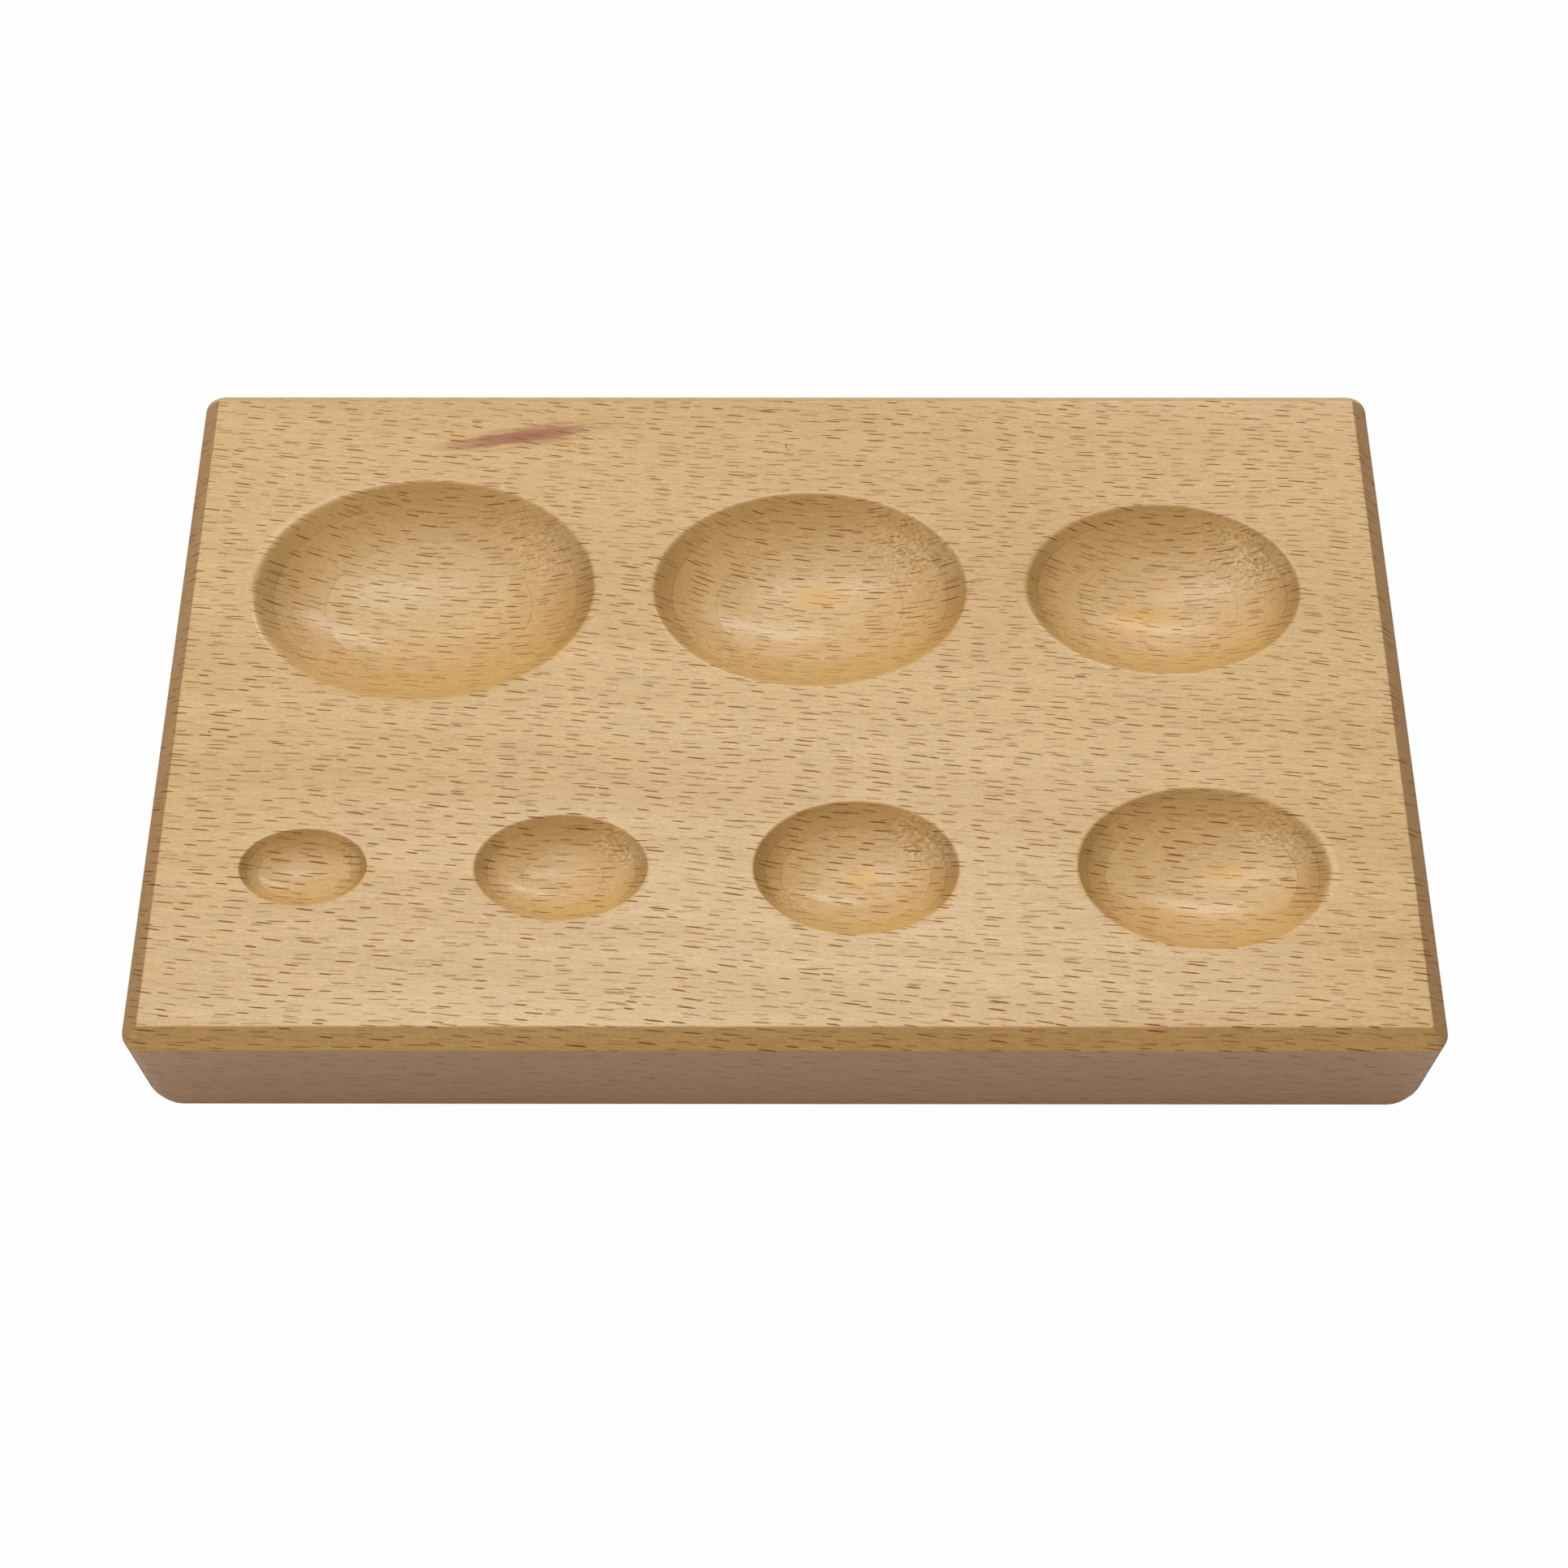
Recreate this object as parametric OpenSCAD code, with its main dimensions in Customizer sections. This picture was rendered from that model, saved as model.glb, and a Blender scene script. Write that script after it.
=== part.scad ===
// Egg holder tray: one solid board with seven egg-shaped hollows in a loop of sizes.
// Origin at the middle of the underside, X along the grain, +Z up, millimetres.

/* [Board] */
// Length of the board, along the grain
board_w = 300; // [250:1:380]
// Depth of the board, front to back
board_d = 182; // [150:1:240]
// Thickness of the board
board_h = 38.5; // [24:0.5:60]
// Width of the sloped edge round the top, across and down
top_chamfer = 4.2; // [1:0.1:7]
// Radius of the upright corners, seen from above
corner_r = 4.6; // [1:0.1:20]
// Small sloped edge round the underside
base_ease = 0.8; // [0.2:0.1:3]

/* [Hollow form] */
// How much of the egg's half length the rim spans, where 1 would sink half an egg
rim_span = 0.8; // [0.6:0.01:0.95]
// Least wood left under a hollow
min_floor = 8; // [4:0.5:20]

/* [Back row, left to right] */
// Length of hollow 1, the largest
hollow_1_len = 84.6; // [60:0.1:90]
// Width of hollow 1
hollow_1_wid = 63.4; // [45:0.1:72]
// Depth of hollow 1
hollow_1_deep = 13; // [5:0.1:20]
// Length of hollow 2
hollow_2_len = 77.6; // [60:0.1:84]
// Width of hollow 2
hollow_2_wid = 56; // [40:0.1:68]
// Depth of hollow 2
hollow_2_deep = 11.5; // [5:0.1:20]
// Length of hollow 3
hollow_3_len = 67.6; // [50:0.1:80]
// Width of hollow 3
hollow_3_wid = 49; // [36:0.1:60]
// Depth of hollow 3
hollow_3_deep = 10.5; // [4:0.1:18]

/* [Front row, right to left] */
// Length of hollow 4
hollow_4_len = 58.8; // [44:0.1:70]
// Width of hollow 4
hollow_4_wid = 41.4; // [30:0.1:50]
// Depth of hollow 4
hollow_4_deep = 9; // [4:0.1:16]
// Length of hollow 5
hollow_5_len = 48; // [36:0.1:60]
// Width of hollow 5
hollow_5_wid = 34.2; // [26:0.1:44]
// Depth of hollow 5
hollow_5_deep = 8; // [4:0.1:14]
// Length of hollow 6
hollow_6_len = 40.6; // [30:0.1:50]
// Width of hollow 6
hollow_6_wid = 27; // [20:0.1:36]
// Depth of hollow 6
hollow_6_deep = 6.5; // [3:0.1:12]
// Length of hollow 7, the smallest
hollow_7_len = 29.8; // [24:0.1:40]
// Width of hollow 7
hollow_7_wid = 19.6; // [15:0.1:28]
// Depth of hollow 7
hollow_7_deep = 5.2; // [2.5:0.1:10]

/* [Spacing] */
// Shares of the back row's spare length: left end, two gaps, right end
back_row_shares = [18.5, 14.2, 14.5, 23]; // [1:0.1:60]
// Share of the front row's spare length at its left end
front_left_share = 23.1; // [1:0.1:60]
// Shares of the front row's spare length: its three gaps
front_gap_shares = [24.8, 24.3, 27.4]; // [1:0.1:60]
// Share of the front row's spare length at its right end
front_right_share = 23.2; // [1:0.1:60]
// Shares of the spare depth: front edge, between the rows, back edge
row_shares = [23.5, 24.4, 29.3]; // [1:0.1:60]

/* [Hidden] */
smooth = 96;

edge_r = max(corner_r, top_chamfer);

// Each hollow is [length, width, depth], listed from left to right
back_row = [
    [hollow_1_len, hollow_1_wid, hollow_1_deep],
    [hollow_2_len, hollow_2_wid, hollow_2_deep],
    [hollow_3_len, hollow_3_wid, hollow_3_deep],
];
front_row = [
    [hollow_7_len, hollow_7_wid, hollow_7_deep],
    [hollow_6_len, hollow_6_wid, hollow_6_deep],
    [hollow_5_len, hollow_5_wid, hollow_5_deep],
    [hollow_4_len, hollow_4_wid, hollow_4_deep],
];
front_row_shares = concat(front_left_share, front_gap_shares, front_right_share);

function sum_to(list, count) = count <= 0 ? 0 : list[count - 1] + sum_to(list, count - 1);
function total(list) = sum_to(list, len(list));
function column(rows, i) = [for (row = rows) row[i]];

// Left end, centre and right end of a row follow from its hollows and its shares
function spare(size, sizes, shares) = (size - total(sizes)) / total(shares);
function centre(size, sizes, shares, i) =
    -size / 2 + sum_to(sizes, i) + sizes[i] / 2
    + spare(size, sizes, shares) * sum_to(shares, i + 1);

row_widths = [max(column(front_row, 1)), max(column(back_row, 1))];
front_y = centre(board_d, row_widths, row_shares, 0);
back_y = centre(board_d, row_widths, row_shares, 1);

// Outline of the board cut across: an upright section with both sloped edges
module section(size) {
    polygon([
        [-size / 2 + base_ease, 0],
        [size / 2 - base_ease, 0],
        [size / 2, base_ease],
        [size / 2, board_h - top_chamfer],
        [size / 2 - top_chamfer, board_h],
        [-size / 2 + top_chamfer, board_h],
        [-size / 2, board_h - top_chamfer],
        [-size / 2, base_ease],
    ]);
}

// Round upright corner, with the same sloped edges turned about its axis
module corner() {
    rotate_extrude($fn = smooth)
        polygon([
            [0, 0],
            [edge_r - base_ease, 0],
            [edge_r, base_ease],
            [edge_r, board_h - top_chamfer],
            [edge_r - top_chamfer, board_h],
            [0, board_h],
        ]);
}

module board() {
    rotate([90, 0, 0])
        linear_extrude(board_d - 2 * edge_r, center = true)
            section(board_w);
    rotate([90, 0, 90])
        linear_extrude(board_w - 2 * edge_r, center = true)
            section(board_d);
    for (sx = [-1, 1], sy = [-1, 1])
        translate([sx * (board_w / 2 - edge_r), sy * (board_d / 2 - edge_r), 0])
            corner();
}

// Lower end of an egg lying on its side, sunk to its depth in the top
module hollow(size) {
    deep = min(size[2], board_h - min_floor);
    rise = sqrt(1 - rim_span * rim_span);
    egg_h = deep / (1 - rise);
    translate([0, 0, board_h + egg_h * rise])
        scale([size[0] / 2 / rim_span, size[1] / 2 / rim_span, egg_h])
            sphere(r = 1, $fn = smooth);
}

module row_of_hollows(row, shares, y) {
    lengths = column(row, 0);
    for (i = [0 : len(row) - 1])
        translate([centre(board_w, lengths, shares, i), y, 0])
            hollow(row[i]);
}

module tray_block() {
    color("burlywood")
        difference() {
            board();
            row_of_hollows(back_row, back_row_shares, back_y);
            row_of_hollows(front_row, front_row_shares, front_y);
        }
}

tray_block();
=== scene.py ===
import math

import bmesh
import bpy
from mathutils import Matrix, Vector


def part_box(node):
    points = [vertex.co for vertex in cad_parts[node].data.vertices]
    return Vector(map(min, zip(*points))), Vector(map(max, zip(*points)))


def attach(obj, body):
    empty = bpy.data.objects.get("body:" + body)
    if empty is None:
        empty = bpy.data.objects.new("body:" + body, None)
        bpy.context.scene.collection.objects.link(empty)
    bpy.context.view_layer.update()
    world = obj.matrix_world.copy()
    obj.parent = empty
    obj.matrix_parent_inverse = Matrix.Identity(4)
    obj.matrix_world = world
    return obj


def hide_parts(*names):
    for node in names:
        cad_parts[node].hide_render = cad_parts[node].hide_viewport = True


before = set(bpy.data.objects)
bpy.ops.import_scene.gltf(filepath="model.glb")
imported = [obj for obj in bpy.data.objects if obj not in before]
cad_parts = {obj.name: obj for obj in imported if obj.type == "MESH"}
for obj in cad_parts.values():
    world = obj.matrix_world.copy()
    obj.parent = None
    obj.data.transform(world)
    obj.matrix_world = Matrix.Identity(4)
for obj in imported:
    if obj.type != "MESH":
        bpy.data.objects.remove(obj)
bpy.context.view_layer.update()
blockLow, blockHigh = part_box("tray_block")
boardSize = blockHigh - blockLow
mm = 0.001
print("frame loaded, board", [round(side / mm, 1) for side in boardSize], "mm")

# ---- the board and its hollows, sizes in mm

board = {
    "topSlope": 4.2,       # width of the slope round the top
    "cornerRadius": 4.6,   # upright corners, seen from above
    "baseCornerRadius": 8.0,    # the same corners sanded rounder at the base
    "baseCornerHeight": 8.0,    # how far up that extra sanding runs
    "baseCornerSteps": 6,
    "baseEase": 0.8,       # small slope round the underside
    "edgeSoftness": 0.28,  # sanding on every edge of the slopes
    "cornerPoints": 8,     # points round a quarter corner
    "edgeSteps": 4,        # faces across a softened edge
}

# how the board lay in the log, in mm
logShape = {
    "heartBelow": 276.0,    # depth of the log's heart under the table
    "heartBack": 52.0,      # how far the heart lies behind the middle
    "grainDrift": 0.078,    # how far the fibres drift to the front along the board
    "wander": 3.2,          # slow waves of the fibres
}

# each hollow is length, width, depth
hollows = {
    "backRow": [(84.6, 63.4, 13.0), (77.6, 56.0, 11.5), (67.6, 49.0, 10.5)],
    "frontRow": [(29.8, 19.6, 5.2), (40.6, 27.0, 6.5), (48.0, 34.2, 8.0), (58.8, 41.4, 9.0)],
    "backGaps": [18.5, 14.2, 14.5, 23.0],         # shares of the row's spare length
    "frontGaps": [23.1, 24.8, 24.3, 27.4, 23.2],
    "rowGaps": [23.5, 24.4, 29.3],                # shares of the spare depth, front to back
    "rimSpan": 0.8,       # share of the egg's half length that the rim cuts
    "spinSteps": 144,     # points round a hollow
    "rimReach": 1.06,     # where the soft rim has died out, in rim radii
    "crispRim": 0.022,    # softness of a rim at its crisp side, share of the depth
    "ringHalfWidth": 0.16,    # width of the dark line painted along a tool ring as the shade in its groove, in mm
    "wallSteepness": [0.87, 1.0, 1.09],   # floor, wall and rim band
}

# each hollow's two tool rings, in rim radii, in the rows' order
toolRings = {
    "backRow": [(0.61, 0.89), (0.60, 0.88), (0.58, 0.91)],
    "frontRow": [(0.74, 0.90), (0.47, 0.86), (0.73, 0.88), (0.765, 0.92)],
}

# the side of each rim that is sanded softest, degrees from +X, and its softness
wornRims = {
    "backRow": [(196, 0.10), (200, 0.05), (190, 0.07)],
    "frontRow": [(200, 0.06), (170, 0.05), (20, 0.05), (0, 0.10)],
}

# how much the cutter tore the grain of each hollow
tornAmounts = {
    "backRow": [0.5, 0.75, 0.9],
    "frontRow": [0.35, 0.85, 1.0, 0.6],
}

# golden ochre patches tinted into some hollows: middle and half size in rim radii, and strength
goldenPatches = {
    "backRow": [[], [(0.06, 0.16, 0.25, 0.20, 1.0)],
                [(0.06, 0.22, 0.22, 0.14, 0.6), (-0.14, -0.13, 0.38, 0.25, 1.0)]],
    "frontRow": [[], [(0.12, 0.08, 0.26, 0.14, 0.7)], [(0.05, 0.05, 0.30, 0.22, 1.0)],
                 [(0.20, 0.12, 0.30, 0.20, 0.9), (-0.3, -0.42, 0.5, 0.2, 0.4)]],
}

# torn fibres: middle and half width in degrees, then in rim radii
tornPatches = {
    "right": (36, 42, 0.82, 0.34),
    "left": (218, 36, 0.8, 0.26),
    "leftShare": 0.45,
}

# values kept at every point of the surface, which the material reads
hollowMasks = ("tornGrain", "toolRing", "goldenPatch")
slopeMasks = ("endGrain", "upright", "acrossFibres", "rayCut")


def softenedProfile():
    # inset and height of every level of the board, from the base to the top face
    ease, slope = board["baseEase"], board["topSlope"]
    top = boardSize.z / mm
    corners = [(ease, 0), (0, ease), (0, top - slope), (slope, top), (slope + 2, top)]
    levels = [corners[0]]
    for before, corner, after in zip(corners, corners[1:], corners[2:]):
        point = Vector(corner)
        start = point + (Vector(before) - point).normalized() * board["edgeSoftness"]
        end = point + (Vector(after) - point).normalized() * board["edgeSoftness"]
        for step in range(board["edgeSteps"] + 1):
            share = step / board["edgeSteps"]
            curve = start.lerp(point, share).lerp(point.lerp(end, share), share)
            levels.append((curve.x, curve.y))
    rise = (board["baseCornerHeight"] - ease) / board["baseCornerSteps"]
    levels += [(0, ease + rise * step) for step in range(1, board["baseCornerSteps"] + 1)]
    return sorted(levels, key=lambda level: (level[1], level[0]))


def addBoardLevel(mesh, inset, height, closed):
    # a circle whose quarters are slid out to the corners
    count = board["cornerPoints"]
    loop = bmesh.ops.create_circle(mesh, cap_ends=closed, segments=4 * count, radius=1)["verts"]
    sanded = max(0, 1 - height / board["baseCornerHeight"]) ** 2
    corner = board["cornerRadius"] + (board["baseCornerRadius"] - board["cornerRadius"]) * sanded
    radius = (corner - inset) * mm
    for place, point in enumerate(loop):
        quarter, step = divmod(place, count)
        turn = math.radians(90 * (quarter + step / (count - 1)))
        middle = math.radians(90 * quarter + 45)
        cornerX = math.copysign(boardSize.x / 2 - corner * mm, math.cos(middle))
        cornerY = math.copysign(boardSize.y / 2 - corner * mm, math.sin(middle))
        point.co = (cornerX + radius * math.cos(turn), cornerY + radius * math.sin(turn), height * mm)
    return list({edge for point in loop for edge in point.link_edges})


def rowCentres(length, sizes, gaps):
    spare = (length - sum(sizes)) / sum(gaps)
    return [-length / 2 + sum(sizes[:place]) + size / 2 + spare * sum(gaps[:place + 1])
            for place, size in enumerate(sizes)]


def placeHollows():
    rows = [hollows["frontRow"], hollows["backRow"]]
    widths = [max(width for _, width, _ in row) for row in rows]
    heights = rowCentres(boardSize.y / mm, widths, hollows["rowGaps"])
    placed = []
    for name, across in zip(("frontRow", "backRow"), heights):
        along = rowCentres(boardSize.x / mm, [length for length, _, _ in hollows[name]],
                           hollows[name.replace("Row", "Gaps")])
        placed += zip(along, [across] * len(along), hollows[name], toolRings[name], wornRims[name],
                      tornAmounts[name], goldenPatches[name])
    return placed


def bowlHeight(reach, depth):
    # lower end of an egg on its side, level with the top at the rim
    span = hollows["rimSpan"]
    rise = math.sqrt(1 - span ** 2)
    return depth / (1 - rise) * (rise - math.sqrt(1 - (span * reach) ** 2))


def hollowHeight(reach, turn, depth, rings, worn):
    # the wall gets steeper outside each tool ring, and the whole keeps its depth
    stops = [0, *rings, 1.2]
    total = height = 0
    for low, high, steepness in zip(stops, stops[1:], hollows["wallSteepness"]):
        total += steepness * (bowlHeight(min(high, 1), depth) - bowlHeight(low, depth))
        if reach < high:
            height -= steepness * (bowlHeight(min(high, 1), depth) - bowlHeight(max(reach, low), depth))
    height *= depth / total
    side, softest = worn
    share = ((1 + math.cos(turn - math.radians(side))) / 2) ** 2
    softness = depth * (hollows["crispRim"] + (softest - hollows["crispRim"]) * share)
    return (height - math.sqrt(height ** 2 + softness ** 2)) / 2


def spread(low, high, count):
    return [low + (high - low) * step / count for step in range(count)]


def ringRows(length, rings):
    # rows of points from the middle out, three of them close together at each tool ring
    line = hollows["ringHalfWidth"] / (length / 2)
    inner, outer = rings
    return (spread(0, inner - line, 14) + [inner - line, inner] + spread(inner + line, outer - line, 8)
            + [outer - line, outer] + spread(outer + line, 0.97, 3)
            + spread(0.97, hollows["rimReach"], 9) + [hollows["rimReach"]])


def addHollow(mesh, x, y, size, rings, worn, tornAmount, goldenPatchesHere):
    length, width, depth = size
    spoke = [mesh.verts.new((reach, 0, 0)) for reach in ringRows(length, rings)]
    edges = [mesh.edges.new(pair) for pair in zip(spoke, spoke[1:])]
    before = set(mesh.verts) - set(spoke)
    bmesh.ops.spin(mesh, geom=spoke + edges, cent=(0, 0, 0), axis=(0, 0, 1), angle=2 * math.pi,
                   steps=hollows["spinSteps"], use_merge=True)
    bmesh.ops.remove_doubles(mesh, verts=[v for v in mesh.verts if v not in before], dist=1e-5)
    torn, ring, goldenPatch = [mesh.verts.layers.float[name] for name in hollowMasks]
    for point in (v for v in mesh.verts if v not in before):
        across, up = point.co.xy
        reach, turn = math.hypot(across, up), math.atan2(up, across)
        onRim = reach > hollows["rimReach"] - 1e-4
        height = 0 if onRim else hollowHeight(reach, turn, depth, rings, worn)
        point[torn] = tornAmount * tornGrainAt(reach, math.degrees(turn)) if reach < 1.01 else 0
        onRing = min(abs(reach - at) for at in rings) < 1e-4
        # painted shade: a dark line along each tool ring's groove, strongest on the left and right walls
        point[ring] = 0.3 + 0.7 * math.cos(turn) ** 2 if onRing else 0
        point[goldenPatch] = sum(share * bump(math.hypot((across - left) / wide, (up - low) / tall), 0, 1)
                          for left, low, wide, tall, share in goldenPatchesHere)
        point.co = ((x + across * length / 2) * mm, (y + up * width / 2) * mm,
                    boardSize.z + height * mm)


def bump(value, middle, halfWidth):
    away = min(1, abs(value - middle) / halfWidth)
    return (1 - away ** 2) ** 2


def tornGrainAt(reach, degrees):
    # the cutter lifts the fibres where it runs against the grain
    side, halfTurn, middle, halfReach = tornPatches["right"]
    right = bump(degrees, side, halfTurn) * bump(reach, middle, halfReach)
    side, halfTurn, middle, halfReach = tornPatches["left"]
    left = bump(degrees % 360, side, halfTurn) * bump(reach, middle, halfReach)
    return max(right, tornPatches["leftShare"] * left)


def maskSlopes(mesh):
    endGrain, upright, acrossFibres, rayCut = [mesh.verts.layers.float[name] for name in slopeMasks]
    heart = Vector((0, logShape["heartBack"] * mm, -logShape["heartBelow"] * mm))
    for point in mesh.verts:
        point[endGrain] = abs(point.normal.x)
        point[upright] = max(0, 1 - 3 * abs(point.normal.z))
        point[acrossFibres] = min(1, 6 * (1 - abs(point.normal.z))) * (1 - point[upright])
        outward = point.co - heart
        outward.x = 0
        acrossRays = Vector((1, 0, 0)).cross(outward.normalized())
        point[rayCut] = point.normal.cross(acrossRays).length    # 1 where the face cuts the rays squarely


def buildTray():
    mesh = bmesh.new()
    for name in hollowMasks + slopeMasks:
        mesh.verts.layers.float.new(name)
    below = None
    for inset, height in softenedProfile():
        loop = addBoardLevel(mesh, inset, height, closed=below is None)
        if below:
            bmesh.ops.bridge_loops(mesh, edges=below + loop)
        below = loop
    for hollow in placeHollows():
        addHollow(mesh, *hollow)
    openEdges = [edge for edge in mesh.edges if edge.is_boundary]
    bmesh.ops.triangle_fill(mesh, use_beauty=True, edges=openEdges, normal=(0, 0, 1))
    bmesh.ops.recalc_face_normals(mesh, faces=mesh.faces)
    mesh.normal_update()
    maskSlopes(mesh)
    data = bpy.data.meshes.new("eggTray")
    mesh.to_mesh(data)
    mesh.free()
    data.shade_smooth()
    tray = bpy.data.objects.new("egg_tray", data)
    bpy.context.scene.collection.objects.link(tray)
    weighted = tray.modifiers.new("flatFacesStayFlat", "WEIGHTED_NORMAL")
    weighted.weight = 100
    weighted.keep_sharp = True
    return tray


tray = buildTray()
print("tray built,", len(tray.data.polygons), "faces")

# ---- node helpers


def newGroup(name, inputs, outputs):
    group = bpy.data.node_groups.new(name, "ShaderNodeTree")
    for title, kind, value in inputs:
        socket = group.interface.new_socket(name=title, in_out="INPUT", socket_type="NodeSocket" + kind)
        if value is not None:
            socket.default_value = value
    for title, kind in outputs:
        group.interface.new_socket(name=title, in_out="OUTPUT", socket_type="NodeSocket" + kind)
    start = group.nodes.new("NodeGroupInput")
    end = group.nodes.new("NodeGroupOutput")
    return group, start.outputs, end.inputs


def feed(tree, socket, value):
    if isinstance(value, bpy.types.NodeSocket):
        tree.links.new(value, socket)
    elif value is not None:
        socket.default_value = value


def place(tree, kind, inputs=None, **settings):
    made = tree.nodes.new("ShaderNode" + kind)
    for name, value in settings.items():
        setattr(made, name, value)
    for name, value in (inputs or {}).items():
        feed(tree, made.inputs[name], value)
    return made


def calc(tree, operation, *values, clamp=False):
    made = place(tree, "Math", operation=operation, use_clamp=clamp)
    for socket, value in zip(made.inputs, values):
        feed(tree, socket, value)
    return made.outputs[0]


def vectorCalc(tree, operation, first, second):
    return place(tree, "VectorMath", {0: first, 1: second}, operation=operation).outputs[0]


def ramp(tree, value, low, high, outLow=0.0, outHigh=1.0):
    made = place(tree, "MapRange", {"Value": value, "From Min": low, "From Max": high,
                                    "To Min": outLow, "To Max": outHigh},
                 interpolation_type="SMOOTHSTEP")
    return made.outputs["Result"]


def blend(tree, share, first, second, how="MIX"):
    made = place(tree, "Mix", data_type="RGBA", blend_type=how, clamp_factor=True)
    for socket, value in ((made.inputs[0], share), (made.inputs[6], first), (made.inputs[7], second)):
        feed(tree, socket, value)
    return made.outputs[2]


def split(tree, vector):
    return place(tree, "SeparateXYZ", {"Vector": vector}).outputs


def join(tree, x, y, z):
    made = place(tree, "CombineXYZ")
    for socket, value in zip(made.inputs, (x, y, z)):
        feed(tree, socket, value)
    return made.outputs[0]


def noise(tree, vector, scale, detail=2.0, roughness=0.5, output="Fac"):
    return place(tree, "TexNoise", {"Vector": vector, "Scale": scale, "Detail": detail,
                                    "Roughness": roughness}).outputs[output]


def stretch(tree, vector, x, y, z, shift=(0, 0, 0)):
    return place(tree, "Mapping", {"Vector": vector, "Scale": (x, y, z), "Location": shift}).outputs[0]


def colour(red, green, blue):
    # sRGB bytes to the scene's linear values
    linear = [(part / 255 / 12.92) if part < 10 else ((part / 255 + 0.055) / 1.055) ** 2.4
              for part in (red, green, blue)]
    return (*linear, 1)


# ---- places in the wood follow its growth rings


def makeGrainPlaces():
    group, given, out = newGroup("grainPlaces", [("Place", "Vector", None)], [("Wood", "Vector")])
    x, y, z = split(group, given["Place"])
    slow = noise(group, stretch(group, given["Place"], 0.011, 0.022, 0.022), 1.0, 1.0)
    waves = calc(group, "MULTIPLY", calc(group, "SUBTRACT", slow, 0.5), 2 * logShape["wander"])
    drifted = calc(group, "ADD", calc(group, "MULTIPLY_ADD", x, logShape["grainDrift"], y), waves)
    across = calc(group, "SUBTRACT", drifted, logShape["heartBack"])
    up = calc(group, "ADD", z, logShape["heartBelow"])
    outward = calc(group, "SQRT", calc(group, "ADD", calc(group, "MULTIPLY", across, across),
                                       calc(group, "MULTIPLY", up, up)))
    radius = logShape["heartBelow"] + boardSize.z / mm
    around = calc(group, "MULTIPLY", calc(group, "ARCTAN2", across, up), radius)
    feed(group, out["Wood"], join(group, x, around, outward))
    return group


# ---- rays of the beech: short dark spindles, cut from thin ribbons that run out from the heart

fleckShape = {
    "scatter": 0.74,               # 0 sets them in even rows
    "lengthSpread": (0.7, 1.3),    # shares of the layer's half length
    "widthSpread": (0.75, 1.25),
    "slant": 0.04,                 # steepest slant to the fibres, either way
    "bluntness": 4.0,              # higher keeps the full width nearer to the ends
}


def makeRayFlecks():
    group, given, out = newGroup(
        "rayFlecks",
        [("Wood", "Vector", None), ("Spacing", "Vector", None), ("Half Length", "Float", 1.5),
         ("Half Width", "Float", 0.24), ("Shift", "Float", 0.0)],
        [("Mask", "Float"), ("Tone", "Float")])
    cells = vectorCalc(group, "DIVIDE", given["Wood"], given["Spacing"])
    shifted = vectorCalc(group, "ADD", cells, join(group, given["Shift"], given["Shift"], 0))
    found = place(group, "TexVoronoi",
                  {"Vector": shifted, "Scale": 1.0, "Randomness": fleckShape["scatter"]},
                  voronoi_dimensions="2D").outputs
    away = vectorCalc(group, "SUBTRACT", shifted, found["Position"])
    along, across, _ = split(group, vectorCalc(group, "MULTIPLY", away, given["Spacing"]))
    red, green, blue = place(group, "SeparateColor", {"Color": found["Color"]}).outputs
    longer = ramp(group, red, 0, 1, *fleckShape["lengthSpread"])
    wider = ramp(group, green, 0, 1, *fleckShape["widthSpread"])
    halfLength = calc(group, "MULTIPLY", given["Half Length"], longer)
    halfWidth = calc(group, "MULTIPLY", given["Half Width"], wider)
    steepest = fleckShape["slant"]
    slant = calc(group, "MULTIPLY", along, ramp(group, green, 0, 1, -steepest, steepest))
    lengthShare = calc(group, "ABSOLUTE", calc(group, "DIVIDE", along, halfLength))
    longPart = calc(group, "POWER", lengthShare, fleckShape["bluntness"])
    slanted = calc(group, "ADD", across, slant)
    widePart = calc(group, "ABSOLUTE", calc(group, "DIVIDE", slanted, halfWidth))
    feed(group, out["Mask"], ramp(group, calc(group, "ADD", longPart, widePart), 1.15, 0.65))
    feed(group, out["Tone"], blue)
    return group


def makeFibres():
    group, given, out = newGroup("fibres", [("Wood", "Vector", None)],
                                 [("Fine", "Float"), ("Rings", "Float"), ("Pores", "Float")])
    for name, along, across, outward, detail, roughness in (
            ("Fine", 0.07, 2.2, 2.2, 3.0, 0.6),
            ("Rings", 0.004, 0.012, 0.3, 3.0, 0.5),
            ("Pores", 0.9, 4.5, 4.5, 2.0, 0.5)):
        stretched = stretch(group, given["Wood"], along, across, outward)
        feed(group, out[name], noise(group, stretched, 1.0, detail, roughness))
    return group


# ---- fibres lifted by the cutter: dark and pale specks and a rough feel


def makeTornGrain():
    group, given, out = newGroup("tornGrain", [("Place", "Vector", None), ("Amount", "Float", 0.0)],
                                 [("Dark", "Float"), ("Pale", "Float"), ("Height", "Float")])
    rough = noise(group, stretch(group, given["Place"], 1.0, 1.4, 1.4), 0.95, 2.5, 0.6)
    uneven = ramp(group, noise(group, given["Place"], 0.35), 0.3, 0.6, 0.35, 1)
    worn = calc(group, "MULTIPLY", given["Amount"], uneven)
    feed(group, out["Dark"], calc(group, "MULTIPLY", ramp(group, rough, 0.52, 0.61), worn))
    feed(group, out["Pale"], calc(group, "MULTIPLY", ramp(group, rough, 0.48, 0.39), worn))
    feed(group, out["Height"], calc(group, "MULTIPLY", rough, worn))
    return group


# ---- a soft oval patch at one place on the table, for stains and marks


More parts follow.
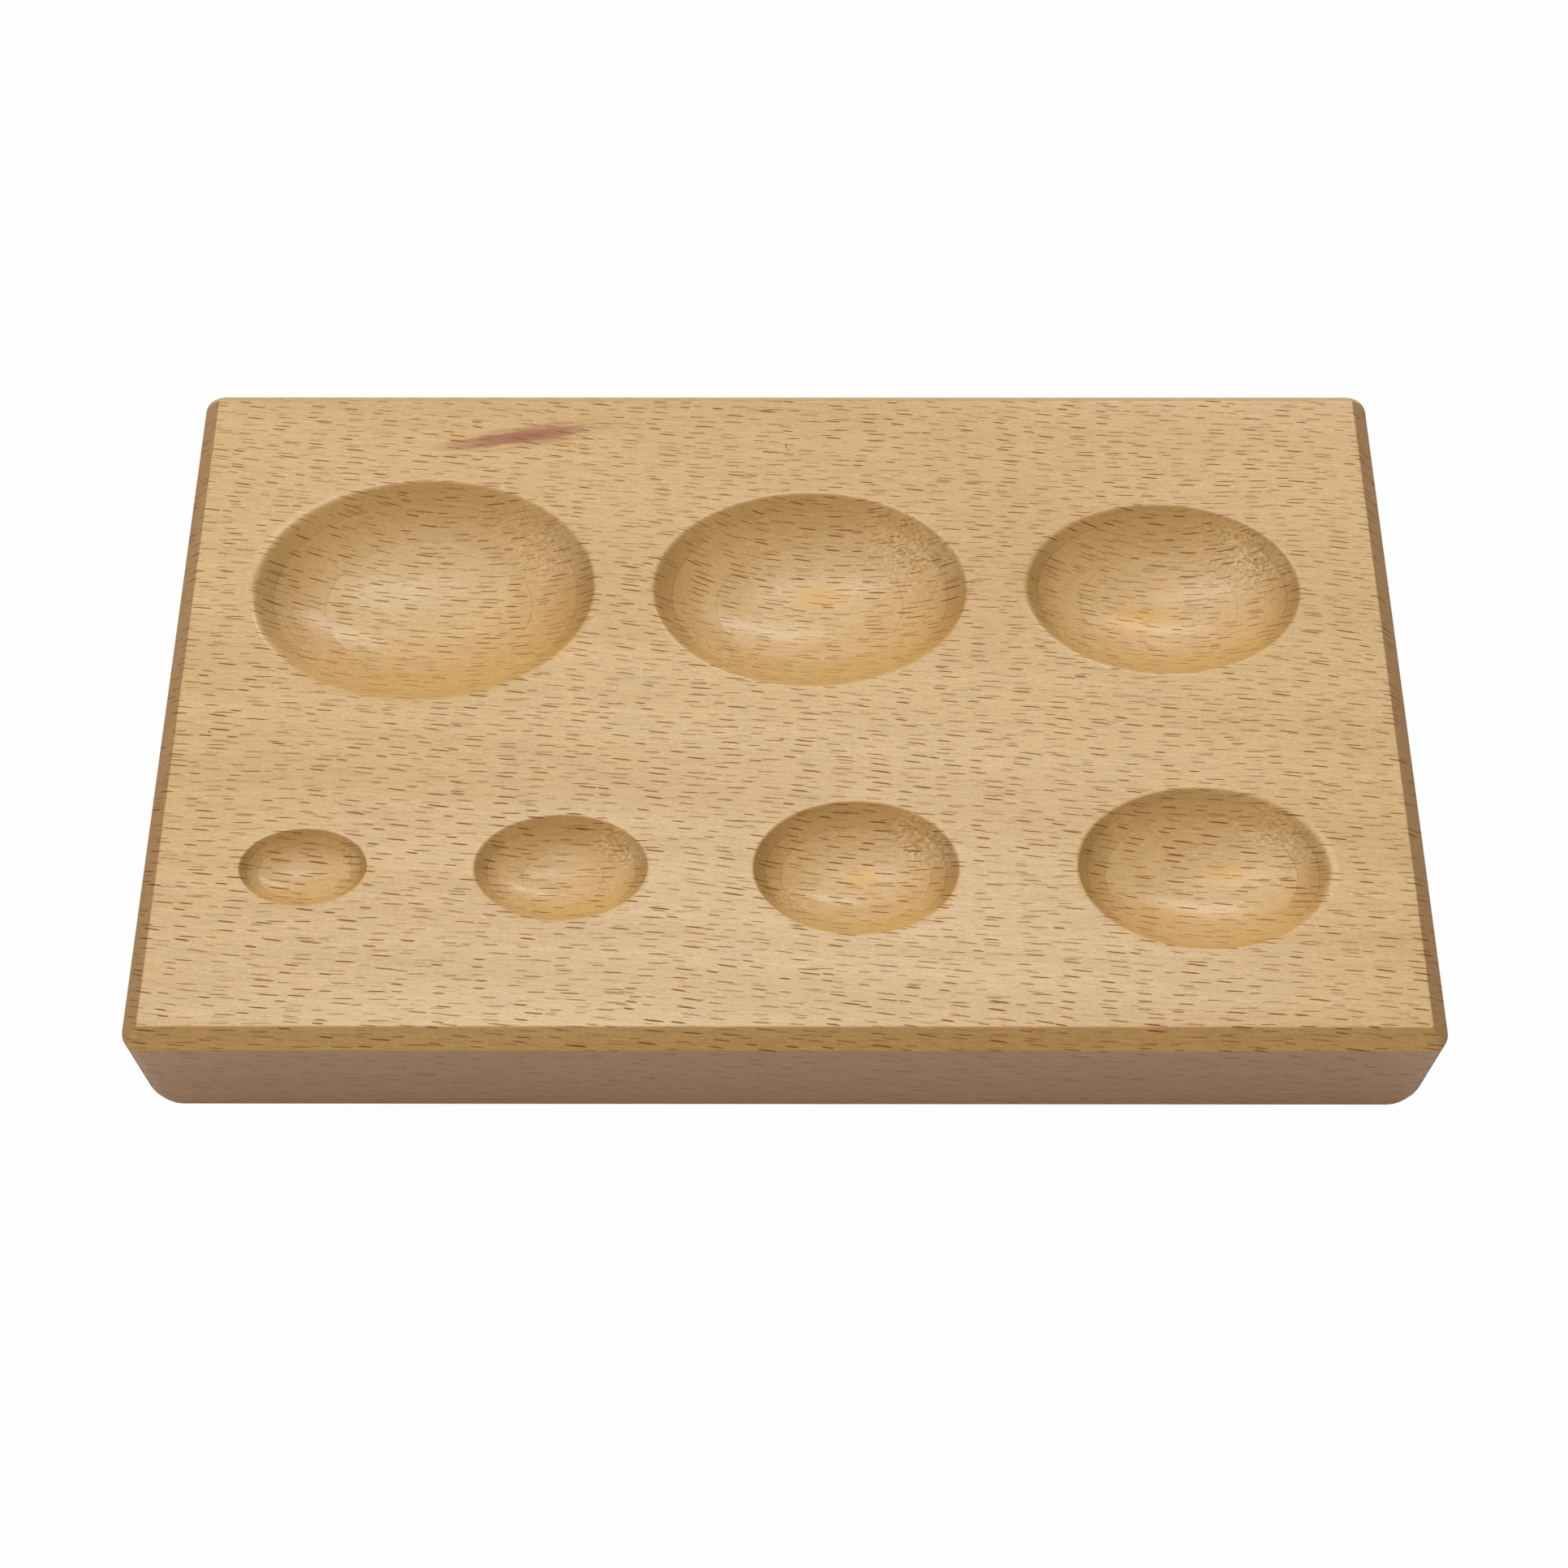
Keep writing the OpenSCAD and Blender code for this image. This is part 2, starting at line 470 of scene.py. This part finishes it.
def makePatch():
    group, given, out = newGroup(
        "patch", [("Place", "Vector", None), ("Middle", "Vector", None), ("Half Size", "Vector", None),
                  ("Tilt", "Float", 0.0)], [("Mask", "Float")])
    moved = vectorCalc(group, "SUBTRACT", given["Place"], given["Middle"])
    turned = place(group, "VectorRotate", {"Vector": moved, "Angle": given["Tilt"]}).outputs[0]
    scaled = vectorCalc(group, "DIVIDE", turned, given["Half Size"])
    reach = place(group, "VectorMath", {0: scaled}, operation="LENGTH").outputs["Value"]
    feed(group, out["Mask"], ramp(group, reach, 1.0, 0.0))
    return group


marks = {
    # middle and half size in mm, tilt in degrees
    "stain": ((-64, 76, 38), (33, 6, 40), 9),
    "stainTail": ((-78, 73.5, 38), (22, 5.5, 40), 12),
    "stainShares": {"stain": 0.9, "stainTail": 0.5},
    "scratches": ((-113, -24, 38), (15, 9, 40), 0),
    "scratchTurn": 0.35,    # radians
    "pits": [((-137.7, -11, 38), (0.55, 0.4, 40), -30), ((-0.8, -12.9, 38), (0.9, 0.35, 40), 0),
             ((0.2, 72.6, 38), (0.28, 0.9, 40), -15), ((0.6, 71.4, 38), (0.7, 0.22, 40), -35)],
}

# spacing along and across, half length, half width in mm, shift, faintest, strongest, tone
rayLayers = {
    "bold": ((8.8, 1.6, 1), 2.1, 0.155, 0.0, 0.55, 1.0, "fleck"),
    "middling": ((8.4, 2.3, 1), 1.8, 0.13, 31.7, 0.0, 0.7, "fleck"),
    "fine": ((5.6, 1.2, 1), 1.3, 0.11, 77.3, 0.0, 0.4, "faintFleck"),
}

# ---- lacquered beech

beech = {
    "light": colour(210, 177, 125),
    "dark": colour(202, 166, 111),
    "side": colour(192, 163, 141),    # painted sheen: the upright faces are greyed toward a pale mauve that stands in for the floor's reflection in them
    "cut": colour(198, 153, 78),      # partly painted light: cut fibres take up more lacquer, and this deeper ochre also paints the warm bounce light inside the hollows
    "fleck": colour(132, 78, 14),
    "faintFleck": colour(150, 110, 46),
    "stain": colour(148, 80, 46),
    "goldenPatch": colour(208, 160, 58),
    "tornDark": colour(148, 106, 50),
    "tornPale": colour(228, 202, 150),
    "endGrain": 0.41,        # how much darker the ends are
    "roughness": 0.5,
    "lacquer": 0.4,
    "lacquerRoughness": 0.21,
    "relief": 0.2,           # height of the lifted fibres, in mm
    "endGrainWarmth": 0.45,
    "fleckRoughness": 0.35,    # added where a fleck lies
    "amounts": {"acrossFibres": 0.5, "upright": 0.6, "fineStreaks": 0.12, "poreSpecks": 0.09,
                "goldenPatch": 0.85, "tornDark": 0.75, "tornPale": 0.9, "toolRing": 0.34, "pit": 0.85},
    "heights": {"scratches": 0.6, "pores": 0.3},    # shares of the relief
    # how much of a fleck's strength or width is left on the faces that hide it most
    "fleckShares": {"upright": 0.7, "endGrain": 0.55, "alongRays": 0.25, "narrowest": 0.25},
}


def addPatch(tree, patch, inMm, middle, halfSize, tilt):
    return place(tree, "Group", {"Place": inMm, "Middle": middle, "Half Size": halfSize,
                                 "Tilt": math.radians(-tilt)}, node_tree=patch).outputs["Mask"]


def tint(tree, base, mask, amount, tone):
    return blend(tree, calc(tree, "MULTIPLY", mask, amount), base, beech[tone])


def darken(tree, base, amount, warmth=0.0):
    # with warmth, green and blue fall faster than red
    left = [calc(tree, "MULTIPLY_ADD", amount, -1 - part * warmth, 1.0) for part in (0, 0.3, 1)]
    shade = place(tree, "CombineColor", dict(enumerate(left))).outputs[0]
    return blend(tree, 1.0, base, shade, "MULTIPLY")


def makeBeech():
    material = bpy.data.materials.new("lacqueredBeech")
    material.use_nodes = True
    tree = material.node_tree
    tree.nodes.clear()
    amounts = beech["amounts"]
    inMm = stretch(tree, place(tree, "TexCoord").outputs["Object"], 1 / mm, 1 / mm, 1 / mm)
    wood = place(tree, "Group", {"Place": inMm}, node_tree=makeGrainPlaces()).outputs["Wood"]
    masks = {name: place(tree, "Attribute", attribute_name=name).outputs["Fac"]
             for name in hollowMasks + slopeMasks}

    fibres = place(tree, "Group", {"Wood": wood}, node_tree=makeFibres())
    base = blend(tree, ramp(tree, fibres.outputs["Rings"], 0.32, 0.68), beech["dark"], beech["light"])
    # slopes and hollow walls tinted deeper ochre: partly more lacquer in cut fibres, partly painted
    # bounce light inside the hollows
    base = tint(tree, base, masks["acrossFibres"], amounts["acrossFibres"], "cut")
    # painted sheen: upright faces are blended toward the pale mauve side tone in place of the floor's
    # reflection on them
    base = tint(tree, base, masks["upright"], amounts["upright"], "side")
    streak, speck = amounts["fineStreaks"], amounts["poreSpecks"]
    fine = ramp(tree, fibres.outputs["Fine"], 0.2, 0.8, streak, -streak)
    pores = ramp(tree, fibres.outputs["Pores"], 0.3, 0.7, speck, -speck)
    base = darken(tree, base, calc(tree, "ADD", fine, pores))

    patch = makePatch()
    stainTurn = math.radians(-marks["stain"][2])
    drift = place(tree, "VectorRotate", {"Vector": inMm, "Angle": stainTurn}).outputs[0]
    ragged = noise(tree, stretch(tree, drift, 0.07, 0.8, 0.8), 1.0, 3.0, 0.6)
    for name, share in marks["stainShares"].items():
        spot = addPatch(tree, patch, inMm, *marks[name])
        streaks = ramp(tree, calc(tree, "MULTIPLY_ADD", spot, 0.6, ragged), 0.57, 1.05, 0, share)
        base = blend(tree, calc(tree, "MULTIPLY", streaks, spot), base, beech["stain"])
    # golden ochre patches near the middle of some hollows
    base = tint(tree, base, masks["goldenPatch"], amounts["goldenPatch"], "goldenPatch")

    flecks = makeRayFlecks()
    left = beech["fleckShares"]
    sideFade = calc(tree, "MULTIPLY", ramp(tree, masks["upright"], 0, 1, 1.0, left["upright"]),
                    ramp(tree, masks["endGrain"], 0.75, 1.0, 1.0, left["endGrain"]))
    rayFade = ramp(tree, masks["rayCut"], 0.1, 0.4, left["alongRays"], 1.0)
    sideFade = calc(tree, "MULTIPLY", sideFade, rayFade)
    matt = 0.0
    for spacing, halfLength, halfWidth, shift, faint, strong, tone in rayLayers.values():
        widthShare = calc(tree, "MAXIMUM", masks["rayCut"], left["narrowest"])
        width = calc(tree, "MULTIPLY", widthShare, halfWidth)
        layer = place(tree, "Group", {"Wood": wood, "Spacing": spacing, "Half Length": halfLength,
                                      "Half Width": width, "Shift": shift}, node_tree=flecks)
        amount = calc(tree, "MULTIPLY", layer.outputs["Mask"],
                      ramp(tree, layer.outputs["Tone"], 0, 1, faint, strong))
        amount = calc(tree, "MULTIPLY", amount, sideFade)
        base = blend(tree, amount, base, beech[tone])
        matt = calc(tree, "MAXIMUM", matt, amount)

    torn = place(tree, "Group", {"Place": inMm, "Amount": masks["tornGrain"]},
                 node_tree=makeTornGrain())
    base = tint(tree, base, torn.outputs["Dark"], amounts["tornDark"], "tornDark")
    base = tint(tree, base, torn.outputs["Pale"], amounts["tornPale"], "tornPale")
    # painted shade in the tool rings' grooves
    base = darken(tree, base, calc(tree, "MULTIPLY", masks["toolRing"], amounts["toolRing"]))
    endShade = ramp(tree, masks["endGrain"], 0.3, 0.75, 0, beech["endGrain"])
    base = darken(tree, base, endShade, beech["endGrainWarmth"])
    for middle, halfSize, tilt in marks["pits"]:
        pit = ramp(tree, addPatch(tree, patch, inMm, middle, halfSize, tilt), 0.0, 0.4)
        base = tint(tree, base, pit, amounts["pit"], "fleck")

    sanded = addPatch(tree, patch, inMm, *marks["scratches"])
    turned = place(tree, "VectorRotate", {"Vector": inMm, "Angle": marks["scratchTurn"]}).outputs[0]
    lines = noise(tree, stretch(tree, turned, 2.2, 0.12, 0.1), 1.0, 1.0)
    scratches = calc(tree, "MULTIPLY", lines, sanded)
    heights = beech["heights"]
    height = calc(tree, "MULTIPLY_ADD", scratches, heights["scratches"], torn.outputs["Height"])
    height = calc(tree, "MULTIPLY_ADD", fibres.outputs["Pores"], heights["pores"], height)
    relief = place(tree, "Bump", {"Height": height, "Distance": beech["relief"] * mm, "Strength": 1.0})
    roughness = calc(tree, "MULTIPLY_ADD", matt, beech["fleckRoughness"], beech["roughness"])
    lacquer = calc(tree, "MULTIPLY", calc(tree, "SUBTRACT", 1.0, matt), beech["lacquer"])
    shader = place(tree, "BsdfPrincipled", {
        "Base Color": base, "Roughness": roughness, "Coat Weight": lacquer,
        "Coat Roughness": beech["lacquerRoughness"], "Normal": relief.outputs[0]})
    place(tree, "OutputMaterial", {"Surface": shader.outputs[0]})
    return material


tray.data.materials.append(makeBeech())
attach(tray, "root")
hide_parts("tray_block")
print("beech made")

# ---- floor, light and camera

studio = {
    "floorTone": colour(206, 196, 192),
    "floorGlow": 0.98,       # share of the floor's look that is its own even white
    "worldTone": colour(255, 238, 224),
    "worldStrength": 0.36,
    # each light: direction right, back, up; distance, width and height in m; power in W; colour
    "lights": {
        "overhead": ((-0.25, 0.05, 1.0), 2.0, 2.4, 2.0, 12.8, (0.98, 1.0, 1.0)),
        "sheen": ((-0.05, 0.34, 1.0), 2.0, 1.3, 0.45, 8.0, (0.98, 1.0, 1.0)),
        "key": ((0.34, 1.1, 1.0), 2.2, 1.2, 0.32, 11.0, (0.98, 1.0, 1.0)),
        "left": ((-1.0, 0.1, 0.55), 2.0, 1.3, 1.3, 6.0, (1.0, 0.97, 0.93)),
    },
}


def addAreaLight(name, direction, distance, width, height, power, tone):
    lamp = bpy.data.lights.new(name, "AREA")
    lamp.shape = "ELLIPSE"
    lamp.size = width
    lamp.size_y = height
    lamp.energy = power
    lamp.color = tone
    holder = bpy.data.objects.new(name, lamp)
    bpy.context.scene.collection.objects.link(holder)
    toLamp = Vector(direction).normalized()
    turn = toLamp.to_track_quat("Z", "Y").to_matrix().to_4x4()
    holder.matrix_world = Matrix.Translation(toLamp * distance) @ turn
    return holder


def addFloor():
    mesh = bmesh.new()
    bmesh.ops.create_circle(mesh, cap_ends=True, segments=96, radius=6)
    bmesh.ops.translate(mesh, verts=mesh.verts, vec=(0, 0, blockLow.z - 0.0001))
    data = bpy.data.meshes.new("floor")
    mesh.to_mesh(data)
    mesh.free()
    floor = bpy.data.objects.new("floor", data)
    bpy.context.scene.collection.objects.link(floor)
    material = bpy.data.materials.new("paleFloor")
    material.use_nodes = True
    tree = material.node_tree
    tree.nodes.clear()
    matt = place(tree, "BsdfDiffuse", {"Color": studio["floorTone"]})
    glow = place(tree, "Emission", {"Color": (1, 1, 1, 1), "Strength": 1.0})
    inView = place(tree, "LightPath").outputs["Is Camera Ray"]
    seen = calc(tree, "MULTIPLY", inView, studio["floorGlow"])
    both = place(tree, "MixShader", {0: seen, 1: matt.outputs[0], 2: glow.outputs[0]})
    place(tree, "OutputMaterial", {"Surface": both.outputs[0]})
    data.materials.append(material)


def lightStudio():
    world = bpy.data.worlds.new("studio")
    bpy.context.scene.world = world
    world.use_nodes = True
    tree = world.node_tree
    tree.nodes.clear()
    even = place(tree, "Background", {"Color": studio["worldTone"],
                                      "Strength": studio["worldStrength"]})
    white = place(tree, "Background", {"Color": (1, 1, 1, 1), "Strength": 1.0})
    both = place(tree, "MixShader", {0: place(tree, "LightPath").outputs["Is Camera Ray"],
                                     1: even.outputs[0], 2: white.outputs[0]})
    place(tree, "OutputWorld", {"Surface": both.outputs[0]})
    for name, values in studio["lights"].items():
        addAreaLight(name, *values)


view = {
    "aim": (-0.0002, -0.025),   # point on the top that the camera looks at, from the middle
    "distance": 0.588,
    "elevation": 61.95,
    "azimuth": 0.28,
    "roll": -0.21,
    "lens": 57.13,
}


def addCamera():
    lens = bpy.data.cameras.new("camera")
    lens.lens = view["lens"]
    lens.sensor_width = 36
    lens.clip_start = 0.01
    camera = bpy.data.objects.new("camera", lens)
    bpy.context.scene.collection.objects.link(camera)
    azimuth, elevation = math.radians(view["azimuth"]), math.radians(view["elevation"])
    back = Vector((math.sin(azimuth) * math.cos(elevation), -math.cos(azimuth) * math.cos(elevation),
                   math.sin(elevation)))
    aim = Vector((*view["aim"], blockHigh.z))
    roll = Matrix.Rotation(math.radians(view["roll"]), 3, "Z").to_quaternion()
    turn = back.to_track_quat("Z", "Y") @ roll
    camera.matrix_world = Matrix.Translation(aim + back * view["distance"]) @ turn.to_matrix().to_4x4()
    bpy.context.scene.camera = camera


addFloor()
lightStudio()
addCamera()
bpy.context.scene.view_settings.view_transform = "Standard"
print("studio ready")
